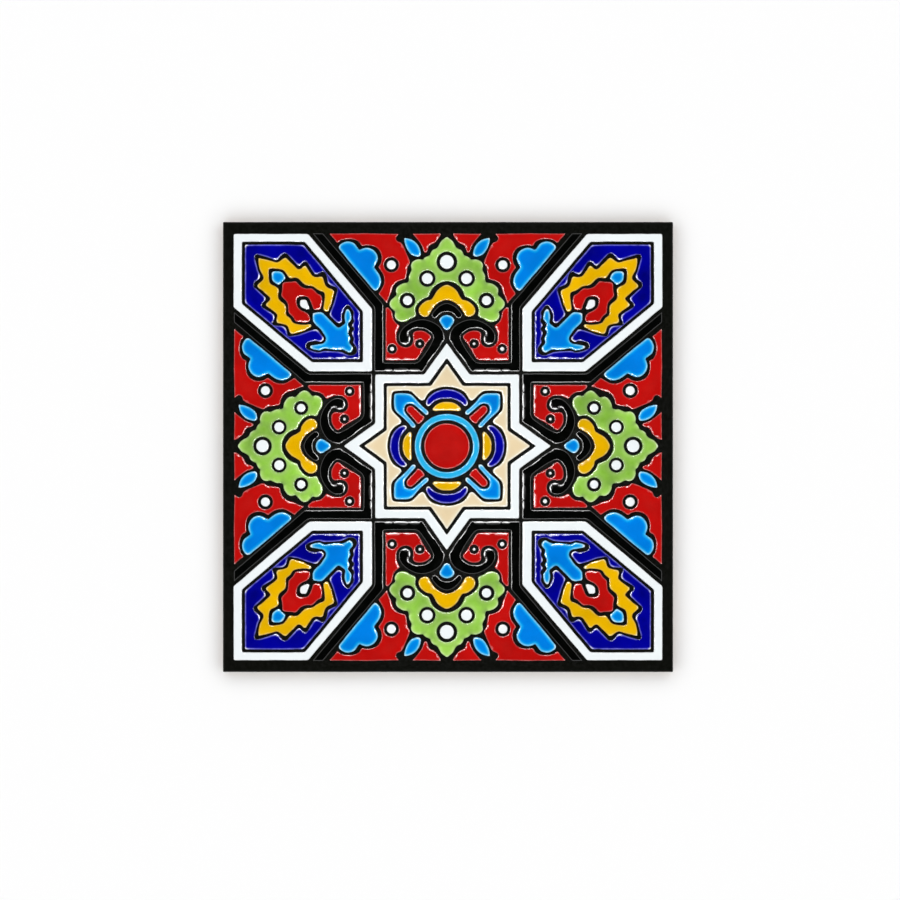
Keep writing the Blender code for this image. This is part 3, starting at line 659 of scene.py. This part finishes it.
class Nodes:
    # one material: a short way to add and wire its nodes
    def __init__(self, name):
        self.material = bpy.data.materials.new(name)
        self.material.use_nodes = True
        self.tree = self.material.node_tree
        self.shader = self.tree.nodes["Principled BSDF"]
        coordinates = self.add("ShaderNodeTexCoord")
        self.place = coordinates.outputs["Object"]

    def add(self, kind, inputs=None, **settings):
        node = self.tree.nodes.new(kind)
        for name, value in settings.items():
            setattr(node, name, value)
        for name, value in (inputs or {}).items():
            self.join(value, node.inputs[name])
        return node

    def join(self, value, socket):
        if isinstance(value, bpy.types.NodeSocket):
            self.tree.links.new(value, socket)
        else:
            socket.default_value = value

    def give(self, name, value):
        self.join(value, self.shader.inputs[name])

    def noise(self, scale, detail=3.0, roughness=0.5):
        return self.add("ShaderNodeTexNoise", {"Vector": self.place, "Scale": scale, "Detail": detail,
                                               "Roughness": roughness}).outputs["Fac"]

    def ramp(self, value, stops):
        node = self.add("ShaderNodeValToRGB", {"Fac": value})
        elements = node.color_ramp.elements
        elements[0].position, elements[0].color = stops[0]
        elements[1].position, elements[1].color = stops[-1]
        for position, colour in stops[1:-1]:
            elements.new(position).color = colour
        return node.outputs["Color"]

    def mix(self, fac, a, b, blend="MIX"):
        # a Mix node has sockets for each kind of value: these are the ones for colours
        node = self.add("ShaderNodeMix", data_type="RGBA", blend_type=blend)
        for value, socket in ((fac, node.inputs[0]), (a, node.inputs[6]), (b, node.inputs[7])):
            self.join(value, socket)
        return node.outputs[2]

    def math(self, operation, *values):
        return self.add("ShaderNodeMath", dict(enumerate(values)), operation=operation).outputs[0]

    def span(self, value, fromMin, fromMax, toMin, toMax):
        return self.add("ShaderNodeMapRange", {"Value": value, "From Min": fromMin, "From Max": fromMax,
                                               "To Min": toMin, "To Max": toMax}).outputs["Result"]

    def spread(self, noise, low, high):
        # noise keeps mostly within 0.3 and 0.7
        return self.span(noise, 0.3, 0.7, low, high)

    def bump(self, height, strength, distance, normal=None):
        inputs = {"Height": height, "Strength": strength, "Distance": distance}
        if normal is not None:
            inputs["Normal"] = normal
        return self.add("ShaderNodeBump", inputs).outputs["Normal"]


# how strongly the glaze is paled, from its edge (0) to as far in as the paling reaches (1): partly the thin
# glaze's own paler colour, partly a painted highlight along the shoulder
thinGlazeAndSheenLine = [(0.0, grey(0.15)), (0.22, grey(1)), (0.5, grey(0.85)), (0.72, grey(0.3)), (1.0, grey(0))]

# each glaze: its colours by the distance from the edge in millimetres, how uneven it is, and how it
# pales along the edge, partly where it is thin and partly as a painted highlight: how far in, the colour,
# how strongly and how much at corners
glazeLooks = {
    "white": {
        "slot": "glaze_white",
        "stops": [(0, (224, 228, 230)), (0.5, (244, 250, 252)), (3, (243, 250, 252))],
        "mottle": 0.02, "paleReach": 0.8, "pale": (255, 255, 255), "strength": 0.1, "corner": 0.3,
    },
    "cobalt": {
        "slot": "glaze_cobalt",
        "stops": [(0, (4, 4, 70)), (0.6, (2, 2, 142)), (1.6, (2, 2, 144)), (4, (0, 0, 114))],
        "mottle": 0.3, "paleReach": 0.85, "pale": (122, 122, 248), "strength": 0.5, "corner": 1.6,
    },
    "azure": {
        "slot": "glaze_azure",
        "stops": [(0, (30, 120, 190)), (0.5, (50, 180, 238)), (1.1, (6, 156, 236)), (1.9, (0, 127, 227)),
                  (3.6, (1, 126, 226))],
        "mottle": 0.12, "paleReach": 1.0, "pale": (150, 225, 252), "strength": 0.4, "corner": 1.1,
    },
    "turquoise": {
        "slot": "glaze_azure",
        "stops": [(0, (30, 140, 190)), (0.4, (48, 184, 237)), (1.6, (30, 178, 236))],
        "mottle": 0.08, "paleReach": 0.8, "pale": (170, 232, 252), "strength": 0.1, "corner": 0.8,
    },
    "red": {
        "slot": "glaze_red",
        "stops": [(0, (110, 16, 12)), (0.5, (192, 21, 19)), (1.3, (190, 15, 13)), (4, (190, 22, 19))],
        "mottle": 0.14, "paleReach": 0.6, "pale": (226, 104, 104), "strength": 0.15, "corner": 0.8,
    },
    "green": {
        "slot": "glaze_green",
        "stops": [(0, (120, 160, 80)), (0.6, (172, 214, 112)), (1.8, (150, 203, 82)), (4, (132, 192, 52))],
        "mottle": 0.28, "paleReach": 0.9, "pale": (226, 246, 196), "strength": 0.12, "corner": 1.3,
        # painted shade in the notches, where the edge turns into the field
        "notchShadeColour": (104, 150, 60),   # where the edge turns into the field
    },
    "yellow": {
        "slot": "glaze_yellow",
        "stops": [(0, (150, 100, 0)), (0.4, (230, 182, 18)), (1.8, (236, 181, 0)), (4, (239, 177, 0))],
        "mottle": 0.12, "paleReach": 0.9, "pale": (254, 234, 150), "strength": 0.0, "corner": 1.0,
    },
    "sand": {
        "slot": "glaze_sand",
        "stops": [(0, (200, 180, 140)), (0.6, (240, 226, 194)), (2, (236, 215, 175)), (4, (236, 214, 173))],
        "mottle": 0.05, "paleReach": 1.0, "pale": (255, 250, 234), "strength": 0.7, "corner": 0.6,
    },
    "black": {
        "slot": "glaze_black",
        "stops": [(0, (6, 7, 5)), (1, (3, 4, 3)), (4, (3, 4, 3))],
        "mottle": 0.1, "paleReach": 0.5, "pale": (20, 22, 20), "strength": 0.0, "corner": 0.3,
    },
}

# what all the glazes share
glazeFinish = {
    "mottleScale": 75,
    "thinAndSheenScale": 330,
    "thinAndSheenSpread": 0.3,
    # painted glint: past this strength of paling the edge goes towards white
    "sheenWhitening": (0.7, 1.5),       # the strength of the paling from which it goes towards white
    # where the painted shade of the notches lies and how dark it is
    "notchBend": (-0.12, -0.5),
    "notchDepth": (0.5, 2.6),
    "notchStrength": 0.7,
    "roughnessScale": 260,
    "roughness": (0.05, 0.12),
    "ior": 1.5,
    "coat": 0.3,
    "coatRoughness": 0.04,
    "peelScale": 190,              # the long, faint waves of the surface
    "peel": (0.25, 0.0002),
    "unevenScale": 700,            # on the shoulders alone, so that their glints break up
    "unevenReach": (0.2, 1.1),
    "uneven": (0.12, 0.0003),
}


def glazeMaterial(name, look):
    s = glazeFinish
    nodes = Nodes(name + "Glaze")
    depth = nodes.add("ShaderNodeAttribute", attribute_name="depth").outputs["Fac"]
    bend = nodes.add("ShaderNodeAttribute", attribute_name="bend").outputs["Fac"]
    reach = look["stops"][-1][0]
    stops = [(distance / reach, srgb(*colour)) for distance, colour in look["stops"]]
    colour = nodes.ramp(nodes.span(depth, 0, reach, 0, 1), stops)
    cloudy = nodes.spread(nodes.noise(s["mottleScale"], 4), 1 - look["mottle"], 1 + look["mottle"])
    colour = nodes.mix(1.0, colour, cloudy, "MULTIPLY")
    # the pale edge, partly thin glaze and partly a painted sheen, comes and goes in patches
    least, most = look["strength"] - s["thinAndSheenSpread"], look["strength"] + s["thinAndSheenSpread"]
    thinAndSheenPatches = nodes.spread(nodes.noise(s["thinAndSheenScale"], 2), least, most)
    paling = nodes.math("MULTIPLY_ADD", bend, look["corner"], thinAndSheenPatches)
    line = nodes.ramp(nodes.span(depth, 0, look["paleReach"], 0, 1), thinGlazeAndSheenLine)
    # strong paling goes towards white, a painted glint on the shoulder
    pale = nodes.mix(nodes.span(paling, *s["sheenWhitening"], 0, 1), srgb(*look["pale"]), srgb(255, 255, 255))
    colour = nodes.mix(nodes.math("MULTIPLY", line, nodes.span(paling, 0, 1, 0, 1)), colour, pale)
    if "notchShadeColour" in look:
        # painted shade: the glaze is darker where the edge turns into it
        notchShadeByBend = nodes.span(bend, *s["notchBend"], 0, s["notchStrength"])
        notchShadeMask = nodes.math("MULTIPLY", notchShadeByBend, nodes.span(depth, *s["notchDepth"], 1, 0))
        colour = nodes.mix(notchShadeMask, colour, srgb(*look["notchShadeColour"]))
    nodes.give("Base Color", colour)
    nodes.give("Roughness", nodes.spread(nodes.noise(s["roughnessScale"], 3), *s["roughness"]))
    nodes.give("IOR", s["ior"])
    nodes.give("Coat Weight", s["coat"])
    nodes.give("Coat Roughness", s["coatRoughness"])
    peel = nodes.bump(nodes.noise(s["peelScale"], 2), *s["peel"])
    onShoulder = nodes.span(depth, *s["unevenReach"], 1, 0)
    uneven = nodes.math("MULTIPLY", nodes.noise(s["unevenScale"], 1), onShoulder)
    nodes.give("Normal", nodes.bump(uneven, *s["uneven"], peel))
    return nodes.material


lineLook = {
    "colours": [(0.3, srgb(5, 6, 3)), (0.7, srgb(11, 12, 8))],
    "colourScale": 600,
    "roughness": (0.16, 0.26),
    "roughnessScale": 900,
    "specular": 0.15,
    "grain": (0.25, 0.00006),
    "grainScale": 2600,
}


def lineMaterial():
    s = lineLook
    nodes = Nodes("blackLine")
    nodes.give("Base Color", nodes.ramp(nodes.noise(s["colourScale"], 4), s["colours"]))
    nodes.give("Roughness", nodes.spread(nodes.noise(s["roughnessScale"], 3), *s["roughness"]))
    nodes.give("Specular IOR Level", s["specular"])
    nodes.give("Normal", nodes.bump(nodes.noise(s["grainScale"], 3), *s["grain"]))
    return nodes.material


biscuitLook = {
    "colours": [(0.25, srgb(158, 133, 108)), (0.75, srgb(182, 158, 130))],
    "colourScale": 160,
    "specks": [(0.0, grey(0)), (0.33, grey(0)), (0.42, grey(1))],
    "speckScale": 2100,
    "speckColour": (140, 108, 82),
    "creptScale": 95,
    "creptWaver": 0.0012,          # metres, as are the next
    "creptEdge": (0.0031, 0.0036),
    "creptColour": (22, 21, 18),
    "roughness": 0.85,
    "grain": (0.5, 0.0002),
    "grainScale": 900,
}


def biscuitMaterial():
    s = biscuitLook
    nodes = Nodes("biscuit")
    body = nodes.ramp(nodes.noise(s["colourScale"], 5, 0.6), s["colours"])
    specks = nodes.ramp(nodes.noise(s["speckScale"], 2), s["specks"])
    body = nodes.mix(specks, srgb(*s["speckColour"]), body)
    # black from the face has crept a little way down the sides
    height = nodes.add("ShaderNodeSeparateXYZ", {"Vector": nodes.place}).outputs["Z"]
    crept = nodes.span(nodes.noise(s["creptScale"], 3), 0.25, 0.75, -s["creptWaver"], s["creptWaver"])
    edge = nodes.math("ADD", height, crept)
    body = nodes.mix(nodes.span(edge, *s["creptEdge"], 0, 1), body, srgb(*s["creptColour"]))
    nodes.give("Base Color", body)
    nodes.give("Roughness", s["roughness"])
    grain = nodes.bump(nodes.noise(s["grainScale"], 5, 0.7), *s["grain"])
    nodes.give("Normal", grain)
    return nodes.material


def piece(mesh, name, material):
    bmesh.ops.recalc_face_normals(mesh, faces=mesh.faces)
    data = bpy.data.meshes.new(name)
    mesh.to_mesh(data)
    mesh.free()
    data.materials.append(material)
    obj = link(bpy.data.objects.new(name, data))
    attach(obj, "root")
    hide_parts(tileNode)
    return obj


def makeGlazes():
    total = 0
    for name in glazeNames:
        look = glazeLooks[name]
        obj = piece(glazes[name], name + "Glaze", glazeMaterial(name, look))
        obj.data.shade_smooth()
        total += len(obj.data.polygons)
        print(name, "glaze:", len(obj.data.polygons), "faces")
    print("glazes made,", total, "faces")


# Floor, light and camera

studio = {
    "floorRadius": 3.0,
    "openingSide": 0.1985,
    "floorColour": (250, 250, 250),
    "skyStrength": 1.70,
    # height of the sky's rings (sine of the elevation) and how bright they are
    "skyRings": [(0.0, 0.4), (0.05, 0.1), (0.5, 0.1), (0.61, 0.85), (0.8, 1.0), (0.9, 1.0), (0.96, 0.75),
                 (0.975, 0.0)],
    "lampDistance": 0.25,
    "lampHeight": 58,        # degrees
    "lampSpread": 30,
    # each lamp lights the half or the quarter of the tile across from it
    "sideLamp": {"power": 0.043, "size": (0.2, 0.08), "aim": 0.055},
    "cornerLamp": {"power": 0.031, "size": (0.11, 0.1), "aim": 0.075},
    "photoPixels": 900,
    "tilePixels": 450,
    "tileMiddle": (448.0, 447.0),   # in the photo, in pixels
    "lens": 120,
    "sensorWidth": 36,
    "scaleHeight": 0.0078,   # the height at which the tile is that many pixels wide
    "clipEnd": 20,
}


def makeFloor():
    # the floor is left open under the tile, where only the views from below see it
    mesh = bmesh.new()
    bmesh.ops.create_circle(mesh, segments=96, radius=studio["floorRadius"])
    bmesh.ops.create_circle(mesh, segments=4, radius=studio["openingSide"] / math.sqrt(2),
                            matrix=Matrix.Rotation(math.pi / 4, 4, "Z"))
    bmesh.ops.triangle_fill(mesh, use_beauty=True, edges=mesh.edges, normal=(0, 0, 1))
    data = bpy.data.meshes.new("floor")
    mesh.to_mesh(data)
    mesh.free()
    nodes = Nodes("floorPaint")
    nodes.give("Base Color", srgb(*studio["floorColour"]))
    nodes.give("Roughness", 0.9)
    nodes.give("Specular IOR Level", 0.0)
    data.materials.append(nodes.material)
    link(bpy.data.objects.new("floor", data))


def makeSky():
    # a bright ring all round, with a dark cap above it so that the flat glazes stay deep
    world = bpy.data.worlds.new("studioSky")
    bpy.context.scene.world = world
    world.use_nodes = True
    tree = world.node_tree
    background = tree.nodes["Background"]
    coordinates = tree.nodes.new("ShaderNodeTexCoord")
    split = tree.nodes.new("ShaderNodeSeparateXYZ")
    ramp = tree.nodes.new("ShaderNodeValToRGB")
    tree.links.new(coordinates.outputs["Generated"], split.inputs["Vector"])
    tree.links.new(split.outputs["Z"], ramp.inputs["Fac"])
    tree.links.new(ramp.outputs["Color"], background.inputs["Color"])
    elements = ramp.color_ramp.elements
    heights = studio["skyRings"]
    elements[0].position, elements[1].position = heights[0][0], heights[-1][0]
    elements[0].color, elements[1].color = grey(heights[0][1]), grey(heights[-1][1])
    for position, value in heights[1:-1]:
        elements.new(position).color = grey(value)
    background.inputs["Strength"].default_value = studio["skyStrength"]


def makeLamps():
    # lamps for the glints only: each stands on one side and lights the glaze on the other
    for k in range(8):
        settings = studio["cornerLamp"] if k % 2 else studio["sideLamp"]
        data = bpy.data.lights.new("glint" + str(k), "AREA")
        data.energy = settings["power"]
        data.shape = "RECTANGLE"
        data.size, data.size_y = settings["size"]
        data.spread = math.radians(studio["lampSpread"])
        lamp = link(bpy.data.objects.new(data.name, data))
        azimuth, height = math.pi / 4 * k, math.radians(studio["lampHeight"])
        outward = Vector((math.cos(azimuth), math.sin(azimuth), 0))
        towardsLamp = outward * math.cos(height) + Vector((0, 0, math.sin(height)))
        lamp.location = towardsLamp * studio["lampDistance"] - outward * settings["aim"]
        lamp.rotation_euler = (-towardsLamp).to_track_quat("-Z", "Y").to_euler()
        lamp.visible_diffuse = False
        lamp.visible_camera = False


def makeCamera():
    data = bpy.data.cameras.new("camera")
    data.lens = studio["lens"]
    data.sensor_width = studio["sensorWidth"]
    metresPerPixel = body["coatSide"] * mm / studio["tilePixels"]
    distance = studio["photoPixels"] * metresPerPixel * data.lens / data.sensor_width
    camera = link(bpy.data.objects.new("camera", data))
    left = studio["photoPixels"] / 2 - studio["tileMiddle"][0]
    up = studio["photoPixels"] / 2 - studio["tileMiddle"][1]
    camera.location = (left * metresPerPixel, -up * metresPerPixel, studio["scaleHeight"] + distance)
    data.clip_end = studio["clipEnd"]
    bpy.context.scene.camera = camera


bpy.context.scene.view_settings.view_transform = "Standard"
layCorners()
laySides()
layStar()
makeGlazes()
makeBody()
makeFloor()
makeSky()
makeLamps()
makeCamera()
print("studio made")
